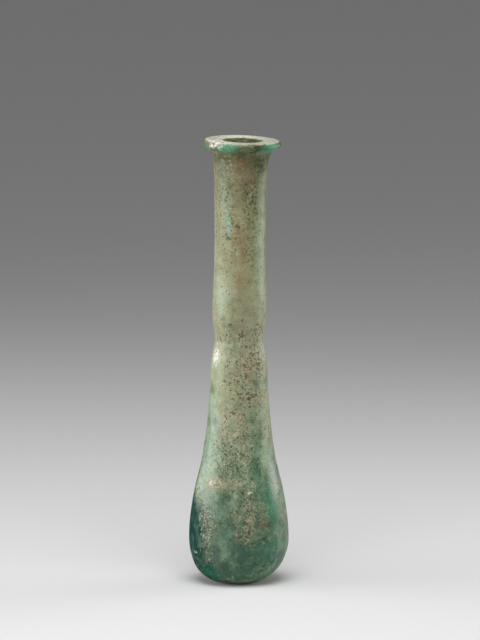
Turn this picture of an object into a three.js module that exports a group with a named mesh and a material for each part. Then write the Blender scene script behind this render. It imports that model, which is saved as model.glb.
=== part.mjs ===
// Blown glass unguentarium: a slim perfume flask with a pear-shaped body, a tooled waist,
// a long tubular neck and a broad rim that is folded inwards and flattened.
// It is one hollow piece of glass. Millimetres, +Z up, origin on the floor under the belly.
import * as THREE from "three";

// ---- Driving dimensions ----
const RIM_TOP = 119.5; // height of the rim's top face at its centre
const RIM_DEPTH = 2.4; // thickness of the folded rim at its centre
const RIM_RADIUS = 10.35;
const MOUTH_RADIUS = 4.1; // the hole that the fold leaves
const NECK_TOP = 114.4; // height where the neck begins to spread into the rim
const NECK_TOP_RADIUS = 7.6;
const BELLY_RADIUS = 13.62;
const BELLY_HEIGHT = 12; // height of the widest part
const FOOT_RADIUS = 5.2; // the small flat that the flask stands on

// How roundly the foot turns into the side: the pull of the curve at its two ends.
const FOOT_PULL = 1.5;
const BELLY_PULL = 9.2;

// The soft edge that turns down from the rim's top into the mouth.
const LIP_WIDTH = 1.9;
const LIP_DROP = 1.6;
const LIP_SAG = 0.12; // how far the top face has sunk where the lip begins

// The underside of the rim, where the neck spreads to meet it.
const SPREAD = 0.45;
const SPREAD_DROP = 0.35;
const THROAT_DROP = 3; // the bore is narrowest this far below the rim's top

// Thickness of the glass wall.
const FLOOR_WALL = 2.3;
const BELLY_WALL = 1.35;
const NECK_WALL = 1.75;
const NECK_WALL_FROM = 58; // the neck's full wall is reached at this height

// How far the free-blown form is from a true turned one.
const LEAN = 0.5; // the neck curves this far to +X of the belly by its top
const FOOT_SHIFT = 0.75; // the foot is this far to -X of the belly
const RIM_SHIFT = 0.43; // the rim is this much further to +X than the neck below it
const RIM_SHIFT_FROM = 110.5; // height where the neck begins to follow the rim
const RIM_TILT = THREE.MathUtils.degToRad(2); // the rim's top dips towards +X

// Facets.
const SIDES = 44;
const SWEEP_STEPS = 7;
const STEPS_PER_SPAN = 2; // between two stations of the wall
const ROLL_STEPS = 8;
const LIP_STEPS = 5;

// Stations of the outer wall above the belly, as [radius, height].
const WALL_STATIONS = [
  [BELLY_RADIUS, BELLY_HEIGHT],
  [13.52, 15],
  [13.02, 19.6],
  [12.06, 25.2], // shoulder
  [10.98, 29.6],
  [10, 34],
  [9.15, 39.4],
  [8.5, 45],
  [8.05, 51.2],
  [7.75, 57], // root of the neck
  [7.45, 61],
  [6.62, 66], // tooled waist
  [7.3, 71],
  [7.38, 76], // swelling of the neck
  [7.12, 81.6],
  [6.96, 88],
  [6.98, 96],
  [7.06, 104],
  [7.22, 110],
  [NECK_TOP_RADIUS, NECK_TOP],
];

const at = (radius, height) => new THREE.Vector2(radius, height);

// ---- Outer wall: foot, sweep up to the belly, body, waist and neck ----
function outerWall() {
  const sweep = new THREE.CubicBezierCurve(
    at(FOOT_RADIUS, 0),
    at(FOOT_RADIUS + FOOT_PULL, 0),
    at(BELLY_RADIUS, BELLY_HEIGHT - BELLY_PULL),
    at(BELLY_RADIUS, BELLY_HEIGHT),
  );
  const wall = new THREE.SplineCurve(WALL_STATIONS.map(([r, z]) => at(r, z)));
  const wallSteps = (WALL_STATIONS.length - 1) * STEPS_PER_SPAN;
  return [...sweep.getPoints(SWEEP_STEPS), ...wall.getPoints(wallSteps).slice(1)];
}

// ---- Rim: rolled outer edge, flattened top and the lip that turns down into the mouth ----
function rim() {
  const edge = RIM_DEPTH / 2; // half-round outer edge
  const quarter = Math.PI / 2;
  const rolled = new THREE.EllipseCurve(
    RIM_RADIUS - edge, RIM_TOP - edge, edge, edge, -quarter, quarter, false,
  );
  const lip = new THREE.CubicBezierCurve(
    at(MOUTH_RADIUS + LIP_WIDTH, RIM_TOP - LIP_SAG),
    at(MOUTH_RADIUS + LIP_WIDTH / 3, RIM_TOP - 2 * LIP_SAG),
    at(MOUTH_RADIUS, RIM_TOP - LIP_DROP / 2),
    at(MOUTH_RADIUS, RIM_TOP - LIP_DROP),
  );
  const underside = at(NECK_TOP_RADIUS + SPREAD, RIM_TOP - RIM_DEPTH - SPREAD_DROP);
  return [underside, ...rolled.getPoints(ROLL_STEPS), ...lip.getPoints(LIP_STEPS)];
}

// Thick in the floor, thin at the belly and thicker again in the neck.
function wallThickness(height) {
  const { lerp, smoothstep } = THREE.MathUtils;
  const aboveFloor = smoothstep(height, 0, BELLY_HEIGHT);
  const upToNeck = smoothstep(height, BELLY_HEIGHT, NECK_WALL_FROM);
  return lerp(lerp(FLOOR_WALL, BELLY_WALL, aboveFloor), NECK_WALL, upToNeck);
}

// ---- Inner wall: the outer one moved in by the thickness, from the neck down to the floor ----
function innerWall(outer) {
  const inner = outer.map((point, i) => {
    const before = outer[Math.max(i - 1, 0)];
    const after = outer[Math.min(i + 1, outer.length - 1)];
    const along = after.clone().sub(before).normalize();
    const inwards = i === 0 ? at(0, 1) : at(-along.y, along.x);
    return point.clone().addScaledVector(inwards, wallThickness(point.y));
  });
  return inner.reverse();
}

// ---- The glassblower's hand: a slight lean, a foot off centre and a tilted rim ----
function handBlown(geometry) {
  const place = geometry.getAttribute("position");
  const { smoothstep, clamp } = THREE.MathUtils;
  for (let i = 0; i < place.count; i++) {
    const x = place.getX(i);
    const z = place.getZ(i);
    const below = clamp((BELLY_HEIGHT - z) / BELLY_HEIGHT, 0, 1);
    const above = clamp((z - BELLY_HEIGHT) / (NECK_TOP - BELLY_HEIGHT), 0, 1);
    const inRim = smoothstep(z, RIM_SHIFT_FROM, RIM_TOP - RIM_DEPTH);
    const tilted = clamp((z - RIM_TOP + RIM_DEPTH) / RIM_DEPTH, 0, 1);
    place.setX(i, x + LEAN * above ** 2 + RIM_SHIFT * inRim - FOOT_SHIFT * below ** 2);
    place.setZ(i, z - x * Math.tan(RIM_TILT) * tilted);
  }
  return geometry;
}

function flask() {
  const outer = outerWall();
  const throat = at(MOUTH_RADIUS, RIM_TOP - THROAT_DROP);
  const profile = [
    at(0, 0),
    ...outer,
    ...rim(),
    throat,
    ...innerWall(outer),
    at(0, FLOOR_WALL),
  ];
  const turned = new THREE.LatheGeometry(profile, SIDES).rotateX(Math.PI / 2);
  const glass = new THREE.MeshStandardMaterial({
    color: 0x7f9a80,
    roughness: 0.3,
    metalness: 0,
    transparent: true,
    opacity: 0.8,
  });
  const mesh = new THREE.Mesh(handBlown(turned), glass);
  mesh.name = "glass_flask";
  return mesh;
}

const unguentarium = new THREE.Group();
unguentarium.add(flask());

export default unguentarium;
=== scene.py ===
"""Dresses the glass unguentarium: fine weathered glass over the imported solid, in a plain studio.

Blender works in metres. Names below that end in _MM hold millimetres, and MM turns them into metres.
"""

import math

import bpy
import numpy as np
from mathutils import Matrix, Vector, noise


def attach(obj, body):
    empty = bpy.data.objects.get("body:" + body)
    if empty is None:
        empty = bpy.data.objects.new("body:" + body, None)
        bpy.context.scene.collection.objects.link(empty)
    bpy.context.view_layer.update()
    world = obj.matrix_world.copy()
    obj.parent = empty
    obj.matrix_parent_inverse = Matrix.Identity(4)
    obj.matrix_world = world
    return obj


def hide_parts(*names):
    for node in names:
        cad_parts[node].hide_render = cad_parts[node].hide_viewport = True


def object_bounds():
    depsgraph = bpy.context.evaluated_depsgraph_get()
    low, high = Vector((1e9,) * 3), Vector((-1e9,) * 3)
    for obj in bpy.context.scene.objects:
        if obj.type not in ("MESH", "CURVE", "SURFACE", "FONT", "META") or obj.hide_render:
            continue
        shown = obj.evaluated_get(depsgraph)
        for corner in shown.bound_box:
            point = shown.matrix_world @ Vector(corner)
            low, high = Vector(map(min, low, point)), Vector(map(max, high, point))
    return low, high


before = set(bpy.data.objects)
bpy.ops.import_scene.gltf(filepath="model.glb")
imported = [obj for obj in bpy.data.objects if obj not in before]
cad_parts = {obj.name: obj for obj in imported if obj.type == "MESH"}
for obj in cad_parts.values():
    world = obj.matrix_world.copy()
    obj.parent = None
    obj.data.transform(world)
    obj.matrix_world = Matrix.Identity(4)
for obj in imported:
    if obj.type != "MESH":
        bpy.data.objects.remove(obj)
CAD_LOW, CAD_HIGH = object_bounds()

bl_info = {
    "name": "Glass unguentarium",
    "version": (1, 0, 0),
    "blender": (4, 5, 0),
    "location": "View3D > Sidebar > Unguentarium",
    "description": "Blows an ancient glass perfume flask, weathers it and sets it in a studio",
    "category": "Object",
}

MM = 0.001
NO_LENGTH = 1e-9  # keeps points on the axis from dividing by nothing
CAD_NODE = "glass_flask"
BODY = "root"

# ---- The blown form. These repeat the solid's own driving dimensions, in millimetres ----
BELLY_RADIUS_MM = CAD_HIGH.x / MM
TILT = math.radians(2)  # the rim's top dips towards +X
RIM_RADIUS_MM = 10.35
RIM_TOP_MM = 119.5
RIM_DEPTH_MM = 2.4
MOUTH_RADIUS_MM = 4.1
NECK_TOP_MM = 114.4
NECK_TOP_RADIUS_MM = 7.6
BELLY_HEIGHT_MM = 12
FOOT_RADIUS_MM = 5.2
FOOT_PULL_MM = 1.5
BELLY_PULL_MM = 9.2
NECK_SPREAD_MM = 0.2
LIP_WIDTH_MM = 1.9
LIP_DROP_MM = 1.6
LIP_SAG_MM = 0.12
THROAT_DROP_MM = 3
FLOOR_WALL_MM = 2.3
BELLY_WALL_MM = 1.35
NECK_WALL_MM = 1.75
NECK_WALL_FROM_MM = 58
LEAN_MM = 0.5
FOOT_SHIFT_MM = 0.75
RIM_SHIFT_MM = 0.43
RIM_SHIFT_FROM_MM = 110.5
BASE_STEPS = 60
SPAN_STEPS = 16
ROLL_STEPS = 24

# Stations of the outer wall above the belly, as (radius, height).
WALL_STATIONS_MM = (
    (BELLY_RADIUS_MM, BELLY_HEIGHT_MM),
    (13.52, 15),
    (13.02, 19.6),
    (12.06, 25.2),  # shoulder
    (10.98, 29.6),
    (10, 34),
    (9.15, 39.4),
    (8.5, 45),
    (8.05, 51.2),
    (7.75, 57),  # root of the neck
    (7.45, 61),
    (6.62, 66),  # tooled waist
    (7.3, 71),
    (7.38, 76),  # swelling of the neck
    (7.12, 81.6),
    (6.96, 88),
    (6.98, 96),
    (7.06, 104),
    (7.22, 110),
    (NECK_TOP_RADIUS_MM, NECK_TOP_MM),
)

# ---- Where age has marked the glass more (above 0) or less (below 0) than elsewhere, and where
# light and shade are painted on. Each row is degrees round from the front towards +X, height, half
# breadth, half height and amount ----
# Where the weathering film is thick or thin.
FILM_PLACES_MM = (
    (-72, 9.5, 6.4, 9, -1.3),  # the film has come away low on the left
    (-92, 32, 2.6, 13, -0.8),  # and along the left edge of the shoulder
    (27, 32, 1.8, 6, -0.22),
    (172, 9, 7, 6, -0.8),
    (205, 40, 4, 9, -0.4),
    (120, 92, 2.5, 9, -0.4),
)
# Where buff earth has bound into the film, and a painted tan line of refraction down the neck's left
# edge.
EARTH_AND_REFRACTION_PLACES_MM = (
    (-38, 28.3, 3.4, 2.0, 0.9),  # buff patch and the band that runs on from it
    (-14, 28.2, 4.5, 1.1, 0.6),
    (-30, 16.5, 2.6, 4.5, 0.3),
    (62, 26, 2.6, 5.5, 0.9),  # buff patch on the right of the shoulder
    (72, 17, 2.0, 5, 0.6),
    (-14, 42, 4.5, 12, 0.5),
    (-8, 85, 3.0, 14, 0.4),
    (-8, 112, 2.2, 2.5, 0.3),
    (-84, 100, 1.4, 20, 0.8),  # painted: the tan line that refraction draws down the neck's left edge
    (-40, 100, 2.0, 18, -0.5),  # greener band on the neck's left
    (48, 98, 2.0, 18, -0.5),
    (27, 30, 2.2, 9, -0.7),  # clear green band
    (42, 20, 3.0, 6, -0.6),
    (50, 62, 2.6, 12, -0.4),
    (-64, 32, 2.4, 12, -0.5),
    (24, 9, 5, 6, -0.6),
    (150, 20, 7, 7, 0.7),
    (190, 66, 6, 7, 0.5),
)
# Where the glass's own bright green shows through a thin film, and a painted glow of light gathered in
# the foot's lower edge and in the bright streak on the neck.
EMERALD_AND_GLOW_PLACES_MM = (
    (-24, 118.4, 3.0, 1.6, 1.2),  # the rim's side, left and right
    (50, 118.0, 3.2, 1.6, 1.2),
    (-70, 118.2, 2.4, 1.0, 0.6),
    # painted highlight: the bright streak on the neck, in the glass's green
    (-26, 97.8, 0.7, 4.2, 1.0),
    (27, 33, 1.6, 5, 0.5),
    (44, 23, 2.8, 6, 0.8),
    (46, 11, 4.5, 5, 0.45),
    # painted glow: light gathered in the foot's lower edge
    (20, 3.5, 9, 2.2, 0.35),
    (-40, 4, 6, 2.2, 0.25),
    (160, 12, 5, 5, 0.5),
    (160, 118.2, 5, 1.6, 1.0),
)
# Where the film is thin, pale and cool, and where a painted sheen stands for the softboxes' broad soft
# reflections down the flask's left and right sides.
MINT_AND_SHEEN_PLACES_MM = (
    (-26, 97.8, 0.75, 4.6, 0.7),  # painted highlight: the left softbox's reflection as a bright streak on the neck
    (-38, 106, 1.1, 9, 0.25),
    # painted sheen down the neck's left and right sides
    (-80, 92, 1.6, 22, 0.5),
    (60, 92, 2.2, 20, 0.4),
    (-62, 27, 1.8, 5, 0.8),  # painted highlight on the left of the shoulder
    (-56, 40, 2.2, 9, 0.6),
    (-68, 32, 2.0, 6, 0.5),
    (12, 28, 1.5, 3, 0.3),
    (55, 12, 2.6, 7, 0.4),
    (-14, 22, 4.5, 2.6, 0.4),
    (-18, 14, 4.5, 6, 0.22),
    (68, 26, 2.0, 8, 0.5),
    (100, 60, 4, 20, 0.4),
    (-42, 78, 2.4, 5, 0.6),
)
# Where the glass is bare. It is painted dark teal there: the glass's colour in depth with painted shade,
# the dark of its unlit inside and of the room seen through it.
DEEP_SHADE_PLACES_MM = (
    (-70, 9.5, 7.0, 9.5, 1.3),  # low on the left
    (-75, 19.5, 5.0, 4.5, 1.0),
    (-46, 4, 5, 2.4, 0.5),
    (-92, 31, 2.4, 11, 0.95),  # painted dark line along the left edge of the shoulder
    (44, 20, 4.0, 8, 0.42),
    (31, 13.0, 2.0, 1.8, 0.5),
    (10, 14.5, 1.6, 2.6, 0.4),
    (20, 51, 1.4, 1.6, 0.4),
    (15, 25, 1.8, 3, 0.3),
    (172, 9, 6, 5, 0.6),
    (205, 40, 3, 8, 0.4),
)
# Where loose cream flakes are many or few.
FLAKE_PLACES_MM = (
    (-40, 28.3, 2.4, 1.4, 0.6),
    (44, 13, 5, 8, -0.6),
    (22, 9, 4, 5, -0.5),
    (-60, 42, 2.6, 12, -0.4),
    (-6, 7, 8, 3.5, -0.2),
    (-16, 28.2, 4, 1.0, 0.3),
    (-50, 7, 2.4, 2.4, 0.2),
    (13, 18.6, 0.9, 0.8, 0.7),
    (14, 26, 1.0, 0.8, 0.7),
    (-8, 41, 0.7, 0.7, 0.7),
    (-38, 15, 2.6, 4, 0.25),
    (-20, 38, 5, 9, 0.3),
    (10, 36, 3, 8, 0.3),
    (64, 26, 1.8, 5, 0.4),
    (160, 30, 4, 8, 0.5),
)
# Where pits are many or few.
PIT_PLACES_MM = (
    (17, 84, 1.8, 16, 0.3),
    (28, 105, 1.8, 5, 0.9),  # pitting on the neck's right side
    (52, 113, 1.6, 3, 0.9),
    (34, 92, 1.6, 5, 0.5),
    (-64, 104, 1.6, 12, 0.4),
    (-24, 36, 4, 7, 0.6),
    (12, 50, 3.0, 6, 0.4),
    (14, 36, 3.0, 8, 0.35),
    (-2, 18, 5, 7, 0.4),
    (0, 80, 5, 8, -0.5),
    (-50, 118.8, 3, 1.2, 1.0),
    (20, 118.4, 3, 1.0, 0.7),
    (-40, 18, 3.2, 5, 0.8),
    (46, 12, 5, 8, -0.6),
    (-60, 42, 2.6, 12, -0.5),
    (-15, 66, 4, 6, 0.4),
    (45, 62, 2, 3, 0.5),
    (64, 26, 2.0, 5, 0.7),
    (4, 28, 1.8, 9, 0.25),
    (-22, 95, 2.6, 14, 0.3),
    (-20, 76, 2.2, 5, 0.35),
    (10, 5, 8, 2.5, 0.3),
    (170, 50, 5, 12, 0.5),
)
# White lime crust. On the waist's left it also carries a painted highlight.
CRUST_AND_HIGHLIGHT_PLACES_MM = (
    (-46, 118.7, 3.0, 1.1, 0.7),  # the rim's left end
    (-62, 61.8, 1.8, 3.2, 0.9),  # the left of the waist: lime crust with a painted highlight
    (-34, 101.3, 0.6, 0.4, 0.4),
    (-42, 28.4, 1.2, 0.8, 0.5),
    (-8, 41, 0.6, 0.5, 0.7),
    (14, 26, 0.7, 0.5, 0.6),
    (-53, 18.5, 0.8, 1.3, 0.5),
    (-46, 14, 0.8, 1.0, 0.45),
    (-62, 9, 1.0, 0.5, 0.6),
    (190, 118.8, 5, 0.9, 0.6),
)
# Red iron specks.
RUST_PLACES_MM = (
    (-1, 15.7, 0.45, 0.4, 1.3),  # red flecks low on the front
    (1, 14.4, 0.3, 0.3, 1.2),
    (-7, 12.9, 0.4, 0.25, 0.9),
    (8, 15.6, 0.7, 0.2, 0.7),
    (32, 17.5, 0.4, 0.35, 1.4),
    (36, 16.9, 0.4, 0.3, 1.2),
    (40, 16.1, 0.4, 0.3, 1.2),
    (13, 18.2, 0.4, 0.3, 0.8),
    (4, 40.5, 0.4, 0.4, 0.6),
    (140, 25, 0.7, 0.5, 1.3),
)
# Brown iron stains, with a painted tan line of refraction down the neck's left edge and painted shade
# right of centre low on the belly.
STAIN_AND_PAINTED_LIGHT_PLACES_MM = (
    (25, 110.0, 0.6, 1.8, 1.3),  # the darkest, high on the neck
    # painted: the tan line that refraction draws down the neck's left edge
    (-88, 104, 2.2, 14, 0.5),
    (-6, 113.6, 2.2, 1.6, 0.7),
    (6, 115.0, 1.8, 1.0, 0.7),
    (-4, 109, 1.6, 4.5, 0.4),
    (-6, 94.5, 1.2, 2.6, 0.9),
    (8, 91, 0.8, 4, 0.8),
    (-12, 88, 0.8, 3, 0.5),
    (0, 82, 1.2, 4, 0.6),
    (0, 72, 1.4, 3, 0.3),
    (18, 57, 1.4, 2.0, 0.6),
    (-6, 20.5, 1.8, 1.4, 0.35),
    # partly brown stain and pits, partly painted shade where the lamps' light is weakest
    (27, 17.5, 2.6, 2.6, 0.45),
    (200, 100, 1.4, 6, 0.6),
)
# The heights of the film's colours, by their names in the settings.
FILM_HEIGHTS_MM = {
    "film_foot": 0,
    "film_belly": 14,
    "film_shoulder": 29,
    "film_waist": 62,
    "film_neck": 96,
    "film_collar": 115.6,
}

# ---- Bands of the flask, each from where it begins to where it is full, in millimetres ----
BODY_HEIGHTS_MM = (14, 50)
NECK_HEIGHTS_MM = (50, 75)
EARTHY_HEIGHTS_MM = (16, 70)
SMOOTHER_HEIGHTS_MM = (60, 80)
COLLAR_HEIGHTS_MM = (110, 114)
RIM_HEIGHTS_MM = (116.0, 116.8)
RIM_RADII_MM = (8.4, 9.4)
RIM_TOP_HEIGHTS_MM = (RIM_TOP_MM - 0.5, RIM_TOP_MM - 0.1)
RIM_TOP_RADII_MM = (4.6, 5.4)
EMERALD_RADII_MM = (5.2, 6.4)
CRUST_RADII_MM = (5, 6)
RELIEF_HEIGHTS_MM = (2.5, 8)  # no relief on the foot that the flask stands on
RELIEF_END_HEIGHTS_MM = (116, 117)  # nor on the rim
TOOLED_PLACES_MM = ((66, 5), (113, 4))  # height and reach of the marks at the waist and under the rim

# The layers of age and of painted light and shade that the mesh carries, and those of them that the
# inside has too.
LAYERS = ("film", "earth", "emerald", "mint", "deep", "stain", "crust", "rust", "flakes", "pits")
LAYERS_INSIDE = ("film", "earth")

# Noise that the relief and the weathering follow: size in mm, stretch upwards, octaves and seed.
NOISE = {
    "drifts": (9.0, 2.5, 3, 11.0),
    "mottle": (2.4, 1.3, 3, 23.0),
    "ragged": (1.1, 1.0, 2, 31.0),
    "wobble": (9.0, 1.5, 2, 5.0),
    "drawn": (1.6, 14.0, 2, 37.0),
    "pitted": (0.9, 1.0, 2, 53.0),
}
FRACTAL_FALL = 1.0  # how fast the finer octaves fade
FRACTAL_STEP = 2.0  # how much finer each octave is
RAGGEDNESS = 0.9  # how far noise breaks up the edge of a place

# The levels from which to which the noise and the deep layer leave their marks.
ROUGH_LEVELS = (-0.1, 0.5)
PITTED_LEVELS = (0.35, 0.7)
BARE_LEVELS = (0.45, 0.75)
TORN_LEVEL = 0.45
TORN_BREADTH = 0.25


# ---- Curves ----
def bezier(points, steps):
    """Points along the Bezier curve of any number of control points."""
    controls = np.array(points, float)
    order = len(controls) - 1
    t = np.linspace(0, 1, steps + 1)[:, None]
    return sum(
        math.comb(order, i) * (1 - t) ** (order - i) * t**i * controls[i]
        for i in range(order + 1)
    )


def smooth_through(stations, steps):
    """A smooth curve through the stations, with its end stations repeated."""
    p = np.array([stations[0], *stations, stations[-1]], float)
    t = (np.arange(steps) / steps)[:, None]
    spans = []
    for before, start, end, after in zip(p, p[1:], p[2:], p[3:]):
        leave, arrive = (end - before) / 2, (after - start) / 2
        cubic = 2 * start - 2 * end + leave + arrive
        square = 3 * end - 3 * start - 2 * leave - arrive
        spans.append(cubic * t**3 + square * t**2 + leave * t + start)
    return np.vstack([*spans, p[-1:]])


def even_spacing(points, spacing):
    """The same curve with its points about that far apart."""
    along = np.concatenate([[0], np.cumsum(np.linalg.norm(np.diff(points, axis=0), axis=1))])
    wanted = np.linspace(0, along[-1], max(2, round(along[-1] / spacing)) + 1)
    return np.stack([np.interp(wanted, along, points[:, i]) for i in (0, 1)], axis=1)


def smoothstep(value, low, high):
    """0 below low, 1 above high and a smooth rise between them."""
    t = np.clip((value - low) / (high - low), 0, 1)
    return t * t * (3 - 2 * t)


# ---- The flask's section, in millimetres, as (radius, height) ----
def outer_wall():
    """The outside from the edge of the foot's flat up to the top of the neck."""
    base = bezier(
        (
            (FOOT_RADIUS_MM, 0),
            (FOOT_RADIUS_MM + FOOT_PULL_MM, 0),
            (BELLY_RADIUS_MM, BELLY_HEIGHT_MM - BELLY_PULL_MM),
            (BELLY_RADIUS_MM, BELLY_HEIGHT_MM),
        ),
        BASE_STEPS,
    )
    return np.vstack([base[:-1], smooth_through(WALL_STATIONS_MM, SPAN_STEPS)])


def rim():
    """The neck's spread, the rolled edge, the flat top and the lip that turns down into the mouth."""
    edge = RIM_DEPTH_MM / 2
    underside = bezier(
        (
            (NECK_TOP_RADIUS_MM, NECK_TOP_MM),
            (NECK_TOP_RADIUS_MM + NECK_SPREAD_MM, RIM_TOP_MM - RIM_DEPTH_MM),
            (RIM_RADIUS_MM - edge, RIM_TOP_MM - RIM_DEPTH_MM),
        ),
        SPAN_STEPS,
    )
    turn = np.linspace(-math.pi / 2, math.pi / 2, ROLL_STEPS + 1)
    rolled = np.stack(
        [RIM_RADIUS_MM - edge + edge * np.cos(turn), RIM_TOP_MM - edge + edge * np.sin(turn)],
        axis=1,
    )
    lip = bezier(
        (
            (MOUTH_RADIUS_MM + LIP_WIDTH_MM, RIM_TOP_MM - LIP_SAG_MM),
            (MOUTH_RADIUS_MM + LIP_WIDTH_MM / 3, RIM_TOP_MM - 2 * LIP_SAG_MM),
            (MOUTH_RADIUS_MM, RIM_TOP_MM - LIP_DROP_MM / 2),
            (MOUTH_RADIUS_MM, RIM_TOP_MM - LIP_DROP_MM),
        ),
        SPAN_STEPS,
    )
    return np.vstack([underside[1:], rolled[1:], lip])


def wall_thickness(height):
    """The glass is thick in the floor, thinnest at the belly and thicker again in the neck."""
    above_floor = smoothstep(height, 0, BELLY_HEIGHT_MM)
    up_to_neck = smoothstep(height, BELLY_HEIGHT_MM, NECK_WALL_FROM_MM)
    body = FLOOR_WALL_MM + (BELLY_WALL_MM - FLOOR_WALL_MM) * above_floor
    return body + (NECK_WALL_MM - body) * up_to_neck


def inner_wall(outer):
    """The outer wall moved in by the glass's thickness, from the neck down to the floor."""
    along = np.gradient(outer, axis=0)
    along /= np.linalg.norm(along, axis=1)[:, None]
    inwards = np.stack([-along[:, 1], along[:, 0]], axis=1)
    inwards[0] = (0, 1)
    return (outer + inwards * wall_thickness(outer[:, 1])[:, None])[::-1]


def section(outer_spacing, inner_spacing):
    """The section from the foot's centre over the rim to the floor's, and 1 for each point inside."""
    wall = outer_wall()
    outside = even_spacing(np.vstack([[[0, 0]], wall, rim()]), outer_spacing)
    throat = [[MOUTH_RADIUS_MM, RIM_TOP_MM - THROAT_DROP_MM]]
    inside = np.vstack([outside[-1:], throat, inner_wall(wall), [[0, FLOOR_WALL_MM]]])
    inside = even_spacing(inside, inner_spacing)[1:]
    return np.vstack([outside, inside]), np.repeat((0.0, 1.0), (len(outside), len(inside)))


# ---- Weathering and relief ----
def flecked(points, name):
    """The named noise at each point, smooth and from about -1 to 1."""
    size, stretch, octaves, seed = NOISE[name]
    scaled = points / size
    scaled[:, 2] /= stretch
    scaled += (seed, 2 * seed, 3 * seed)
    basis = "PERLIN_ORIGINAL"
    return np.array(
        [
            noise.fractal(Vector(p), FRACTAL_FALL, FRACTAL_STEP, octaves, noise_basis=basis)
            for p in scaled
        ]
    )


def placed(points, places, mottle):
    """The sum of the named places' amounts at each point, with ragged edges."""
    x, y, z = points.T
    round_from_front = np.arctan2(x, -y)
    total = np.zeros(len(points))
    for degrees, height, half_breadth, half_height, amount in places:
        turn = np.angle(np.exp(1j * (round_from_front - math.radians(degrees))))
        across = turn * np.hypot(x, y) / half_breadth
        up = (z - height) / half_height
        total += amount * np.exp(-(across**2 + up**2)) * (1 + RAGGEDNESS * mottle)
    return total


def weather_and_paint_light(points, inside):
    """The layers of age and of painted light and shade on the surface by name, each with its strength
    from 0 to 1 at every point.
    """
    x, y, z = points.T
    radius = np.hypot(x, y)
    drifts = flecked(points, "drifts")
    mottle = flecked(points, "mottle")
    ragged = flecked(points, "ragged")
    on_rim = smoothstep(radius, *RIM_RADII_MM) * smoothstep(z, *RIM_HEIGHTS_MM)
    on_top = smoothstep(z, *RIM_TOP_HEIGHTS_MM) * smoothstep(radius, *RIM_TOP_RADII_MM)
    rim_side = on_rim * (1 - on_top)

    # The film is thicker higher up, drifts and mottles, and is thinner on the rim's side than its top.
    film = 0.6 + 0.3 * smoothstep(z, *BODY_HEIGHTS_MM) + 0.2 * smoothstep(z, *NECK_HEIGHTS_MM)
    film += 0.2 * drifts + 0.25 * mottle
    film += placed(points, FILM_PLACES_MM, 0.6 * ragged) - 0.3 * rim_side + 0.2 * on_top

    # Glass is bare past a torn edge, where flakes gather, and is painted with shade there.
    deep = placed(points, DEEP_SHADE_PLACES_MM, 0.7 * ragged)
    torn_edge = np.exp(-(((deep - TORN_LEVEL) / TORN_BREADTH) ** 2)) * (1 - on_rim)
    bare = smoothstep(deep, *BARE_LEVELS)

    earth = 0.2 + 0.5 * drifts + 0.4 * mottle + 0.25 * smoothstep(z, *EARTHY_HEIGHTS_MM)
    earth += placed(points, EARTH_AND_REFRACTION_PLACES_MM, 0.5 * ragged) - 0.35 * smoothstep(z, *COLLAR_HEIGHTS_MM)

    # Flakes and pits come together where the film is rough, less so up the neck.
    rough = smoothstep(0.6 * mottle + 0.6 * drifts, *ROUGH_LEVELS)
    rough *= 1 - 0.5 * smoothstep(z, *SMOOTHER_HEIGHTS_MM)
    flakes = 0.12 + 0.45 * rough + 0.12 * torn_edge + placed(points, FLAKE_PLACES_MM, ragged)
    pits = 0.1 + 0.5 * rough + placed(points, PIT_PLACES_MM, 0.6 * ragged) - 0.4 * rim_side

    emerald = placed(points, EMERALD_AND_GLOW_PLACES_MM, 0.6 * ragged)
    crust = placed(points, CRUST_AND_HIGHLIGHT_PLACES_MM, ragged)
    layers = {
        "film": np.clip(film, 0, 1) * (1 - 0.3 * inside),
        "earth": earth * (1 - rim_side) * (1 - bare),
        "emerald": emerald * smoothstep(radius, *EMERALD_RADII_MM),
        "mint": placed(points, MINT_AND_SHEEN_PLACES_MM, 0.5 * ragged),
        "deep": deep,
        "stain": placed(points, STAIN_AND_PAINTED_LIGHT_PLACES_MM, ragged),
        "rust": placed(points, RUST_PLACES_MM, ragged),
        # The rim's flat top is painted cream: lime crust with painted top light.
        "crust": 0.6 * on_top + crust * smoothstep(radius, *CRUST_RADII_MM),
        "flakes": flakes * (1 - 0.8 * bare),
        "pits": pits * (1 - 0.8 * bare),
    }
    for name in LAYERS:
        if name not in LAYERS_INSIDE:
            layers[name] = layers[name] * (1 - inside)
    return {name: np.clip(layer, 0, 1) for name, layer in layers.items()}


def sink(points, inside, layers, settings):
    """How far each point lies below the solid's own surface, in millimetres."""
    x, y, z = points.T
    wobble = 0.5 + 0.5 * flecked(points, "wobble")
    drawn = 0.5 + 0.5 * flecked(points, "drawn")
    pits = smoothstep(flecked(points, "pitted"), *PITTED_LEVELS) * layers["pits"]
    grooves = 0.5 + 0.5 * np.sin(z * 2 * math.pi / settings.tool_pitch_mm + np.arctan2(y, x))
    tooled = sum(np.exp(-(((z - height) / reach) ** 2)) for height, reach in TOOLED_PLACES_MM)
    depth = (
        settings.wobble_mm * wobble
        + settings.drawn_mm * drawn
        + settings.tool_mm * grooves * tooled
        + settings.film_mm * (1 - layers["film"])
        + settings.flake_mm * (1 - layers["flakes"])
        + settings.pit_mm * pits
    )
    on_wall = smoothstep(z, *RELIEF_HEIGHTS_MM) * (1 - smoothstep(z, *RELIEF_END_HEIGHTS_MM))
    return depth * (1 - inside) * on_wall


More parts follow.
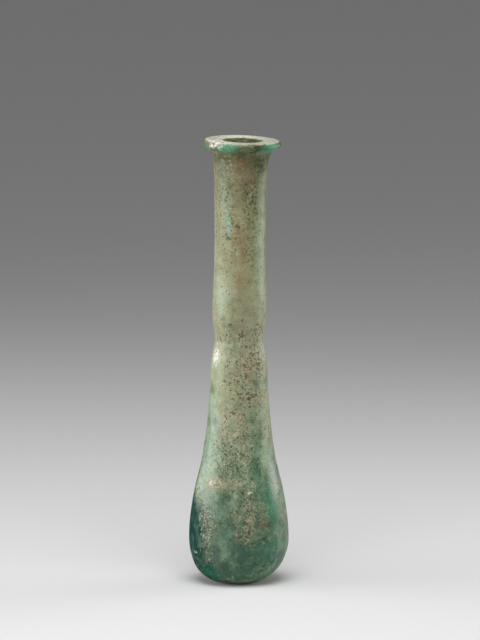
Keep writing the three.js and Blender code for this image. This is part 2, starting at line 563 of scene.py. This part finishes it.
def hand_blown(points):
    """The slight lean, the foot off centre and the tilted rim."""
    x, y, z = points.T
    below = np.clip((BELLY_HEIGHT_MM - z) / BELLY_HEIGHT_MM, 0, 1)
    above = np.clip((z - BELLY_HEIGHT_MM) / (NECK_TOP_MM - BELLY_HEIGHT_MM), 0, 1)
    in_rim = smoothstep(z, RIM_SHIFT_FROM_MM, RIM_TOP_MM - RIM_DEPTH_MM)
    tilted = np.clip((z - RIM_TOP_MM + RIM_DEPTH_MM) / RIM_DEPTH_MM, 0, 1)
    moved = x + LEAN_MM * above**2 + RIM_SHIFT_MM * in_rim - FOOT_SHIFT_MM * below**2
    return np.stack([moved, y, z - x * math.tan(TILT) * tilted], axis=1)


# ---- Meshes ----
def lathe(points, sides):
    """Vertices and faces of a section turned about Z. Points on the axis become one vertex each."""
    turn = np.arange(sides) * 2 * math.pi / sides
    ring = np.stack([np.sin(turn), -np.cos(turn)], axis=1)
    middle = points[1:-1]
    rings = np.concatenate(
        [
            middle[:, None, :1] * ring[None],
            np.broadcast_to(middle[:, None, 1:], (len(middle), sides, 1)),
        ],
        axis=2,
    ).reshape(-1, 3)
    ends = np.array([[0, 0, points[0, 1]], [0, 0, points[-1, 1]]])
    first, last = len(rings), len(rings) + 1
    faces = []
    for row in range(len(middle) - 1):
        low = row * sides
        for i in range(sides):
            j = (i + 1) % sides
            faces.append((low + i, low + j, low + sides + j, low + sides + i))
    top = (len(middle) - 1) * sides
    for i in range(sides):
        j = (i + 1) % sides
        faces.append((first, j, i))
        faces.append((last, top + i, top + j))
    return np.vstack([rings, ends]), faces


def mesh_object(name, vertices, faces, material):
    """A smooth-shaded mesh object with vertices in metres."""
    mesh = bpy.data.meshes.new(name)
    mesh.from_pydata([tuple(v) for v in vertices], [], faces)
    mesh.update()
    mesh.shade_smooth()
    mesh.materials.append(material)
    piece = bpy.data.objects.new(name, mesh)
    bpy.context.scene.collection.objects.link(piece)
    return piece


def per_vertex(piece, name, values):
    """Stores one number a vertex for the material to read."""
    attribute = piece.data.attributes.new(name, "FLOAT", "POINT")
    attribute.data.foreach_set("value", np.asarray(values, np.float32))


# ---- Values of the glass's material ----
# Grains of the surface: name, size in millimetres, detail and swirl.
GRAINS = (
    ("cloud", 3.0, 5.0, 0.0),  # clouds in the film
    ("sand", 0.4, 4.0, 0.0),  # soil grains, really about 0.1 mm, drawn coarser so that they show
    ("pit", 0.7, 2.0, 0.3),
    ("flake", 0.5, 3.0, 0.4),
    ("curl", 1.0, 2.0, 1.6),  # the torn edges of the film's leaves
    ("drawn", 1.3, 4.0, 0.0),  # streaks drawn up the glass
)
GRAIN_ROUGHNESS = 0.6
DRAWN_OUT = 10  # how many times longer than broad the streaks are

# Each mask is a grain as far as a layer lets it through: mask, grain, layer, the layer's weight, and
# the sums at which the mask begins and is full.
MASKS = (
    ("cover", "cloud", "film", 1.0, 0.4, 1.4),
    ("earth", "sand", "earth", 0.8, 0.6, 1.3),
    ("flakes", "flake", "flakes", 0.24, 0.69, 0.75),
    ("pits", "pit", "pits", 0.14, 0.645, 0.69),
    ("mint", "cloud", "mint", 1.0, 0.5, 1.4),
    ("deep", "cloud", "deep", 1.0, 0.75, 1.15),
    ("stain", "drawn", "stain", 1.0, 0.5, 1.3),
    ("crust", "flake", "crust", 0.6, 0.62, 1.0),
    ("rust", "sand", "rust", 1.0, 0.7, 1.2),
    ("emerald", "sand", "emerald", 1.0, 0.55, 1.3),
)
# The film's torn edges are thin curled lines along one level of the curl grain, pale on one side and
# dark on the other, and broader where their layer is stronger: mask, layer and level.
CURLED_LINES = (("curls", "flakes", 0.535), ("cracks", "pits", 0.465))
LINE_BREADTH = 0.034

# The film is lighter and darker with the sum of its grains.
SHADE_WEIGHTS = {"sand": 0.6, "drawn": 0.45, "cloud": 0.6}
SHADE_RANGE = {"From Min": 0.62, "From Max": 1.02, "To Min": 0.55, "To Max": 1.5}

THINNEST_COVER = 0.03  # how much of the glass the thinnest film hides
DEEP_SHADE_COVER = 0.93  # bare glass is painted with the shade of its dark inside, nearly as opaque as the film
PIT_RELIEF = -1.2  # how far pits go in for each step that soil grains stand up
BUMP_STRENGTH = 0.35
BUMP_DEPTH_MM = 0.15
EARTH_ROUGHNESS = 0.7  # earth is matt
SKIN_ROUGHNESS = 0.4  # the film's worn gloss spreads the softboxes into broad soft lights
FILM_IOR = 1.5  # silica
GLASS_IOR = 1.52  # soda-lime glass
CLEAR_GLASS = "#F0FAF5"
PAPER_ROUGHNESS = 0.9
SHARE, UNDER, OVER = 0, 6, 7  # the sockets of a node that mixes two colours


# ---- Materials ----
def linear(hex_colour):
    """An sRGB hex colour as linear red, green, blue and alpha."""
    parts = [int(hex_colour[i : i + 2], 16) / 255 for i in (1, 3, 5)]
    return (*[c / 12.92 if c <= 0.04045 else ((c + 0.055) / 1.055) ** 2.4 for c in parts], 1.0)


def add(tree, kind, inputs=None, output=None, **settings):
    """Adds a node with its settings, feeds it values or other outputs, and gives back its output."""
    node = tree.nodes.new(kind)
    for name, value in settings.items():
        setattr(node, name, value)
    for name, value in (inputs or {}).items():
        if isinstance(value, bpy.types.NodeSocket):
            tree.links.new(value, node.inputs[name])
        else:
            node.inputs[name].default_value = value
    if output:
        return node.outputs[output]
    live = [socket for socket in node.outputs if socket.enabled]
    return live[0] if live else None


def blank_material(name):
    """A new material with no nodes, and its node tree."""
    material = bpy.data.materials.new(name)
    material.use_nodes = True
    material.node_tree.nodes.clear()
    return material, material.node_tree


def per_metre(size_mm):
    """The scale of a pattern whose features are that many millimetres across."""
    return 1 / (size_mm * MM)


def film_by_height(tree, height, settings):
    """The film's colour, which goes from bottle green at the foot to olive under the rim."""
    top = CAD_HIGH.z
    share = add(tree, "ShaderNodeMath", {0: height, 1: top}, operation="DIVIDE")
    colour = add(tree, "ShaderNodeValToRGB", {"Fac": share})
    stops = colour.node.color_ramp.elements
    stops.remove(stops[0])
    for name, height_mm in FILM_HEIGHTS_MM.items():
        stop = stops.new(height_mm * MM / top)
        stop.color = linear(getattr(settings, name))
    stops.remove(stops[-1])
    return colour


def grain_patterns(tree, place):
    """The surface's grains by name, each from 0 to 1."""
    drawn_out = add(tree, "ShaderNodeMapping", {"Vector": place, "Scale": (1, 1, 1 / DRAWN_OUT)})
    grains = {}
    for name, size_mm, detail, swirl in GRAINS:
        grains[name] = add(
            tree,
            "ShaderNodeTexNoise",
            {
                "Vector": drawn_out if name == "drawn" else place,
                "W": float(len(grains)),
                "Scale": per_metre(size_mm),
                "Detail": detail,
                "Roughness": GRAIN_ROUGHNESS,
                "Distortion": swirl,
            },
            noise_dimensions="4D",
        )
    return grains


def age_and_light_masks(tree, grains):
    """Where each kind of ageing, painted sheen and painted shade shows, by name, from 0 to 1."""
    layers = {}
    for name in LAYERS:
        layers[name] = add(tree, "ShaderNodeAttribute", output="Fac", attribute_name=name)
    masks = {}
    for name, grain, layer, weight, low, high in MASKS:
        let_through = add(
            tree,
            "ShaderNodeMath",
            {0: layers[layer], 1: weight, 2: grains[grain]},
            operation="MULTIPLY_ADD",
        )
        masks[name] = add(
            tree, "ShaderNodeMapRange", {"Value": let_through, "From Min": low, "From Max": high}
        )
    for name, layer, level in CURLED_LINES:
        breadth = add(
            tree, "ShaderNodeMath", {0: layers[layer], 1: LINE_BREADTH}, operation="MULTIPLY"
        )
        masks[name] = add(
            tree, "ShaderNodeMath", {0: grains["curl"], 1: level, 2: breadth}, operation="COMPARE"
        )
    return masks


def surface_colour(tree, height, grains, masks, settings):
    """The film's own colour with the painted shade of bare glass, lighter and darker with its grains,
    then what lies in and on it, painted sheen and highlights among them.
    """
    colour = film_by_height(tree, height, settings)
    # Bare glass is painted dark teal first: its colour in depth with painted shade of its dark inside.
    colour = add(
        tree,
        "ShaderNodeMix",
        {SHARE: masks["deep"], UNDER: colour, OVER: linear(settings.deep)},
        data_type="RGBA",
    )
    shade = 0.0
    for grain, weight in SHADE_WEIGHTS.items():
        shade = add(
            tree,
            "ShaderNodeMath",
            {0: grains[grain], 1: weight, 2: shade},
            operation="MULTIPLY_ADD",
        )
    shade = add(tree, "ShaderNodeMapRange", {"Value": shade, **SHADE_RANGE})
    colour = add(tree, "ShaderNodeVectorMath", {0: colour, "Scale": shade}, operation="SCALE")
    for mask, strength, hex_colour in (
        ("emerald", 0.9, settings.emerald),
        ("earth", settings.earth_strength, settings.earth),
        ("mint", 0.85, settings.mint),
        ("stain", 0.6, settings.stain),
        ("cracks", 0.5, settings.pit),
        ("curls", 0.8, settings.flake),
        ("flakes", 0.7, settings.flake),
        ("crust", 0.9, settings.crust),
        ("rust", 0.8, settings.rust),
        ("pits", 0.7, settings.pit),
    ):
        share = add(tree, "ShaderNodeMath", {0: masks[mask], 1: strength}, operation="MULTIPLY")
        colour = add(
            tree,
            "ShaderNodeMix",
            {SHARE: share, UNDER: colour, OVER: linear(hex_colour)},
            data_type="RGBA",
        )
    return colour


def weathered_glass(settings):
    """Blue-green soda-lime glass, free blown, that has lain in the ground.

    The glass itself is clear, a little etched, and deepens to blue-green along the wall. Over it lies
    a satin silica film, green where it is thin, mint where it is thin and pale, and buff where earth
    has bound into it. The softboxes' broad sheen on the sides is painted in pale mint, a highlight on
    the waist in cream and painted top light on the rim's flat top in cream. Bare glass is painted deep
    teal, its colour in depth with painted shade of its dark inside. The film's torn edges curl in fine
    pale and dark lines, with loose cream flakes, soil in pits, white lime crust, brown stains and
    specks of rust. A painted glow in the foot's lower edge, a painted tan line of refraction down the
    neck's left edge and painted shade right of centre low on the belly are there too.
    """
    material, tree = blank_material("buried_soda_lime_glass")
    place = add(tree, "ShaderNodeTexCoord", output="Object")
    height = add(tree, "ShaderNodeSeparateXYZ", {"Vector": place}, output="Z")
    grains = grain_patterns(tree, place)
    masks = age_and_light_masks(tree, grains)

    # How far the film hides the glass. Crust, flakes and the painted shade on bare glass hide it
    # wherever they are.
    opaque = add(
        tree,
        "ShaderNodeMapRange",
        {"Value": masks["cover"], "To Min": THINNEST_COVER, "To Max": settings.film_cover},
    )
    deep = add(tree, "ShaderNodeMath", {0: masks["deep"], 1: DEEP_SHADE_COVER}, operation="MULTIPLY")
    for hides in (masks["crust"], masks["flakes"], masks["curls"], deep):
        opaque = add(tree, "ShaderNodeMath", {0: opaque, 1: hides}, operation="MAXIMUM")

    # Soil grains stand up and pits go in.
    relief = add(
        tree,
        "ShaderNodeMath",
        {0: masks["pits"], 1: PIT_RELIEF, 2: grains["sand"]},
        operation="MULTIPLY_ADD",
    )
    bump = add(
        tree,
        "ShaderNodeBump",
        {"Height": relief, "Strength": BUMP_STRENGTH, "Distance": BUMP_DEPTH_MM * MM},
    )
    # The film is satin with the worn gloss of its skin, rougher with earth, and dull where bare glass is
    # painted with shade.
    satin = add(
        tree,
        "ShaderNodeMapRange",
        {"Value": masks["earth"], "To Min": settings.film_roughness, "To Max": EARTH_ROUGHNESS},
    )
    gloss = add(
        tree,
        "ShaderNodeMapRange",
        {"Value": masks["deep"], "To Min": settings.film_gloss, "To Max": 0.0},
    )
    film = add(
        tree,
        "ShaderNodeBsdfPrincipled",
        {
            "Base Color": surface_colour(tree, height, grains, masks, settings),
            "Roughness": satin,
            "IOR": FILM_IOR,
            "Normal": bump,
            "Specular IOR Level": 0.0,
            "Coat Weight": gloss,
            "Coat Roughness": SKIN_ROUGHNESS,
        },
    )
    glass = add(
        tree,
        "ShaderNodeBsdfPrincipled",
        {
            "Base Color": linear(CLEAR_GLASS),
            "Roughness": settings.glass_roughness,
            "IOR": GLASS_IOR,
            "Transmission Weight": 1.0,
        },
    )
    surface = add(tree, "ShaderNodeMixShader", {0: opaque, 1: glass, 2: film})
    depth = add(
        tree,
        "ShaderNodeVolumeAbsorption",
        {"Color": linear(settings.glass_tint), "Density": settings.glass_density},
    )
    add(tree, "ShaderNodeOutputMaterial", {"Surface": surface, "Volume": depth})
    return material


def matt_paper(name, hex_colour):
    """Seamless background paper: pale, matt and without grain at this distance."""
    material, tree = blank_material(name)
    paper = add(
        tree,
        "ShaderNodeBsdfPrincipled",
        {"Base Color": linear(hex_colour), "Roughness": PAPER_ROUGHNESS},
    )
    add(tree, "ShaderNodeOutputMaterial", {"Surface": paper})
    return material


# ---- The studio, in metres ----
# Each softbox's name, the setting of its power, place, breadth and height, spread in degrees and target.
SOFTBOXES = (
    ("overhead_softbox", "top_power", (0, -0.2, 0.45), (0.3, 0.3), 180, (0, -0.2, 0)),
    ("left_softbox", "left_power", (-0.480, -0.017, 0.125), (0.66, 0.19), 80, (0, 0, 0.09)),
    ("right_softbox", "right_power", (0.445, 0.180, 0.125), (0.38, 0.19), 80, (0, 0, 0.09)),
)
PAPER_SIDES = 96
PAPER_STEPS = 16
CAMERA_REACH = 20


# ---- Settings ----
class FlaskSettings(bpy.types.PropertyGroup):
    """The fineness of the flask's surface and the depth of its relief"""

    sides: bpy.props.IntProperty(
        name="Sides", description="Faces round the flask", default=200, min=24, max=220
    )
    outer_spacing_mm: bpy.props.FloatProperty(
        name="Outer spacing", description="Millimetres between rows outside", default=0.42, min=0.3
    )
    inner_spacing_mm: bpy.props.FloatProperty(
        name="Inner spacing", description="Millimetres between rows inside", default=1.2, min=0.5
    )
    wobble_mm: bpy.props.FloatProperty(
        name="Wobble", description="Unevenness of the free-blown wall, in mm", default=0.14
    )
    drawn_mm: bpy.props.FloatProperty(
        name="Drawn lines", description="Depth of the lines drawn up the neck, in mm", default=0.05
    )
    tool_mm: bpy.props.FloatProperty(
        name="Tool marks", description="Depth of the jack marks at waist and rim, in mm", default=0.04
    )
    tool_pitch_mm: bpy.props.FloatProperty(
        name="Tool pitch", description="Distance between tool marks, in mm", default=1.7
    )
    film_mm: bpy.props.FloatProperty(
        name="Film", description="Thickness of the weathering film, in mm", default=0.04
    )
    flake_mm: bpy.props.FloatProperty(
        name="Flakes", description="How far the loose flakes stand proud, in mm", default=0.07
    )
    pit_mm: bpy.props.FloatProperty(
        name="Pits", description="Depth of the pits in the film, in mm", default=0.1
    )


class GlassSettings(bpy.types.PropertyGroup):
    """The colours and the gloss of the weathered glass"""

    glass_tint: bpy.props.StringProperty(
        name="Glass tint", description="Colour of the glass in depth, sRGB hex", default="#23CDC5"
    )
    glass_density: bpy.props.FloatProperty(
        name="Glass density", description="How fast the glass deepens, per metre", default=1000.0
    )
    glass_roughness: bpy.props.FloatProperty(
        name="Glass roughness", description="Roughness of the etched bare glass", default=0.22
    )
    film_foot: bpy.props.StringProperty(
        name="Film, foot", description="Weathering film under the belly, sRGB hex", default="#3C7457"
    )
    film_belly: bpy.props.StringProperty(
        name="Film, belly", description="Weathering film on the belly, sRGB hex", default="#4F7459"
    )
    film_shoulder: bpy.props.StringProperty(
        name="Film, shoulder", description="Weathering film on the shoulder, sRGB hex", default="#7C9A78"
    )
    film_waist: bpy.props.StringProperty(
        name="Film, waist", description="Weathering film at the waist, sRGB hex", default="#98A080"
    )
    film_neck: bpy.props.StringProperty(
        name="Film, neck", description="Weathering film on the neck, sRGB hex", default="#888C64"
    )
    film_collar: bpy.props.StringProperty(
        name="Film, collar", description="Weathering film under the rim, sRGB hex", default="#4A5024"
    )
    # Also the colour of the painted glow in the foot's edge and the neck's streak.
    emerald: bpy.props.StringProperty(
        name="Emerald", description="Bright glass under a thin film, sRGB hex", default="#3C8F6C"
    )
    film_cover: bpy.props.FloatProperty(
        name="Film cover", description="How opaque the whole film is", default=0.95
    )
    film_roughness: bpy.props.FloatProperty(
        name="Film roughness", description="Roughness of the satin film", default=0.5
    )
    film_gloss: bpy.props.FloatProperty(
        name="Film gloss", description="How much of the film's smooth skin is left", default=0.45
    )
    earth: bpy.props.StringProperty(
        name="Earth", description="Buff earth bound into the film, sRGB hex", default="#A09878"
    )
    earth_strength: bpy.props.FloatProperty(
        name="Earth strength", description="How far the earth hides the film's own green", default=0.75
    )
    flake: bpy.props.StringProperty(
        name="Flake", description="Loose cream flakes, sRGB hex", default="#BDB595"
    )
    pit: bpy.props.StringProperty(
        name="Pit", description="Soil in the pits, sRGB hex", default="#353A2A"
    )
    # Also the colour of the painted sheen on the flask's sides.
    mint: bpy.props.StringProperty(
        name="Mint", description="Thin cool film, sRGB hex", default="#A6BEA8"
    )
    # Painted shade: the dark of the bare glass's unlit inside, with the glass's own teal.
    deep: bpy.props.StringProperty(
        name="Deep", description="Bare glass seen in depth, sRGB hex", default="#083E38"
    )
    stain: bpy.props.StringProperty(
        name="Stain", description="Brown iron stains, sRGB hex", default="#8A6840"
    )
    # Also the colour of the painted highlight on the waist and the painted top light on the rim's top.
    crust: bpy.props.StringProperty(
        name="Crust", description="White lime crust, sRGB hex", default="#E4E0D0"
    )
    rust: bpy.props.StringProperty(
        name="Rust", description="Red iron specks, sRGB hex", default="#8E4840"
    )


class StudioSettings(bpy.types.PropertyGroup):
    """The camera, the paper and the lamps"""

    camera_distance: bpy.props.FloatProperty(
        name="Camera distance", description="From the flask's axis", default=1.4, unit="LENGTH"
    )
    camera_aside: bpy.props.FloatProperty(
        name="Camera aside", description="Towards +X from the axis", default=0.00033, unit="LENGTH"
    )
    camera_height: bpy.props.FloatProperty(
        name="Camera height", description="Above the floor", default=0.29368, unit="LENGTH"
    )
    camera_pitch: bpy.props.FloatProperty(
        name="Camera pitch",
        description="Down from level",
        default=math.radians(9.0417),
        subtype="ANGLE",
    )
    focal_length_mm: bpy.props.FloatProperty(
        name="Focal length", description="Long lens, in mm", default=298.33
    )
    floor_radius: bpy.props.FloatProperty(
        name="Floor radius", description="Where the sweep begins to rise", default=1.9, unit="LENGTH"
    )
    sweep_radius: bpy.props.FloatProperty(
        name="Sweep radius", description="Curve of floor into wall", default=0.7, unit="LENGTH"
    )
    wall_height: bpy.props.FloatProperty(
        name="Wall height", description="Top of the backdrop", default=1.6, unit="LENGTH"
    )
    paper: bpy.props.StringProperty(
        name="Paper", description="Colour of the paper, sRGB hex", default="#E6E6E6"
    )
    top_power: bpy.props.FloatProperty(
        name="Overhead softbox",
        description="Square softbox over the floor in front of the flask",
        default=1.74,
        unit="POWER",
    )
    left_power: bpy.props.FloatProperty(
        name="Left softbox", description="Long low softbox at the left", default=0.61, unit="POWER"
    )
    right_power: bpy.props.FloatProperty(
        name="Right softbox",
        description="Long low softbox at the right, a little behind the flask",
        default=0.27,
        unit="POWER",
    )
    ambient: bpy.props.FloatProperty(
        name="Ambient", description="Light from all round", default=0.22
    )


# ---- Operators ----
class BlowFlask(bpy.types.Operator):
    """Blows the flask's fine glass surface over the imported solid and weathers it"""

    bl_idname = "unguentarium.blow_flask"
    bl_label = "Blow the flask"

    def execute(self, context):
        form = context.scene.flask_settings
        points, inside = section(form.outer_spacing_mm, form.inner_spacing_mm)
        vertices, faces = lathe(points, form.sides)
        inside = np.append(np.repeat(inside[1:-1], form.sides), (0.0, 1.0))
        layers = weather_and_paint_light(vertices, inside)
        outwards = vertices * (1, 1, 0)
        outwards /= np.maximum(np.linalg.norm(outwards, axis=1), NO_LENGTH)[:, None]
        vertices = vertices - outwards * sink(vertices, inside, layers, form)[:, None]
        glass = weathered_glass(context.scene.glass_settings)
        piece = mesh_object("flask", hand_blown(vertices) * MM, faces, glass)
        for name, layer in layers.items():
            per_vertex(piece, name, layer)
        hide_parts(CAD_NODE)
        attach(piece, BODY)
        return {"FINISHED"}


class SetStudio(bpy.types.Operator):
    """Sets the floor with its round sweep, the softboxes and the camera"""

    bl_idname = "unguentarium.set_studio"
    bl_label = "Set the studio"

    def execute(self, context):
        studio = context.scene.studio_settings
        self.lay_paper(studio)
        for name, power, *rest in SOFTBOXES:
            self.hang_softbox(name, getattr(studio, power), *rest)
        self.light_room(studio)
        self.aim_camera(studio)
        return {"FINISHED"}

    def lay_paper(self, studio):
        """A round floor that sweeps up into a wall all round, so that every view has the same ground."""
        turn = np.linspace(-math.pi / 2, 0, PAPER_STEPS + 1)
        outer, sweep = studio.floor_radius, studio.sweep_radius
        curve = np.stack([outer + sweep * np.cos(turn), sweep + sweep * np.sin(turn)], axis=1)
        profile = [(0, 0), *curve, (outer + sweep, studio.wall_height)]
        sides = PAPER_SIDES
        turns = np.arange(sides) * 2 * math.pi / sides
        vertices = [(0, 0, 0)]
        vertices += [(r * math.cos(a), r * math.sin(a), z) for r, z in profile[1:] for a in turns]
        faces = [(0, 1 + i, 1 + (i + 1) % sides) for i in range(sides)]
        for row in range(len(profile) - 2):
            low = 1 + row * sides
            for i in range(sides):
                j = (i + 1) % sides
                faces.append((low + i, low + sides + i, low + sides + j, low + j))
        paper = mesh_object("paper_sweep", vertices, faces, matt_paper("matt_paper", studio.paper))

    def hang_softbox(self, name, power, place, size, spread, target):
        """An area lamp aimed at the target, which lights the scene and isn't seen itself."""
        lamp = bpy.data.lights.new(name, "AREA")
        lamp.shape = "RECTANGLE"
        lamp.size, lamp.size_y = size
        lamp.energy = power
        lamp.spread = math.radians(spread)
        stand = bpy.data.objects.new(name, lamp)
        stand.location = place
        aim = Vector(target) - Vector(place)
        stand.rotation_euler = aim.to_track_quat("-Z", "Y").to_euler()
        stand.visible_camera = False
        bpy.context.scene.collection.objects.link(stand)

    def light_room(self, studio):
        """Faint white light from all round."""
        world = bpy.data.worlds.new("studio_room")
        world.use_nodes = True
        light = world.node_tree.nodes["Background"]
        light.inputs["Color"].default_value = (1, 1, 1, 1)
        light.inputs["Strength"].default_value = studio.ambient
        bpy.context.scene.world = world
        bpy.context.scene.view_settings.view_transform = "Standard"

    def aim_camera(self, studio):
        """A long lens a little above the flask, pitched down."""
        lens = bpy.data.cameras.new("camera")
        lens.lens = studio.focal_length_mm
        lens.clip_end = CAMERA_REACH
        camera = bpy.data.objects.new("camera", lens)
        camera.location = (studio.camera_aside, -studio.camera_distance, studio.camera_height)
        camera.rotation_euler = (math.pi / 2 - studio.camera_pitch, 0, 0)
        bpy.context.scene.collection.objects.link(camera)
        bpy.context.scene.camera = camera


class UnguentariumPanel(bpy.types.Panel):
    """The flask's sizes and finishes, and the buttons that build it"""

    bl_idname = "VIEW3D_PT_unguentarium"
    bl_label = "Unguentarium"
    bl_space_type = "VIEW_3D"
    bl_region_type = "UI"
    bl_category = "Unguentarium"

    def draw(self, context):
        for group in ("flask_settings", "glass_settings", "studio_settings"):
            settings = getattr(context.scene, group)
            box = self.layout.box()
            for name in settings.__annotations__:
                box.prop(settings, name)
        self.layout.operator(BlowFlask.bl_idname)
        self.layout.operator(SetStudio.bl_idname)


CLASSES = (FlaskSettings, GlassSettings, StudioSettings, BlowFlask, SetStudio, UnguentariumPanel)


def register():
    for cls in CLASSES:
        bpy.utils.register_class(cls)
    bpy.types.Scene.flask_settings = bpy.props.PointerProperty(type=FlaskSettings)
    bpy.types.Scene.glass_settings = bpy.props.PointerProperty(type=GlassSettings)
    bpy.types.Scene.studio_settings = bpy.props.PointerProperty(type=StudioSettings)


def unregister():
    del bpy.types.Scene.studio_settings
    del bpy.types.Scene.glass_settings
    del bpy.types.Scene.flask_settings
    for cls in reversed(CLASSES):
        bpy.utils.unregister_class(cls)


def main():
    register()
    bpy.ops.unguentarium.set_studio()
    bpy.ops.unguentarium.blow_flask()


if __name__ == "__main__":
    main()
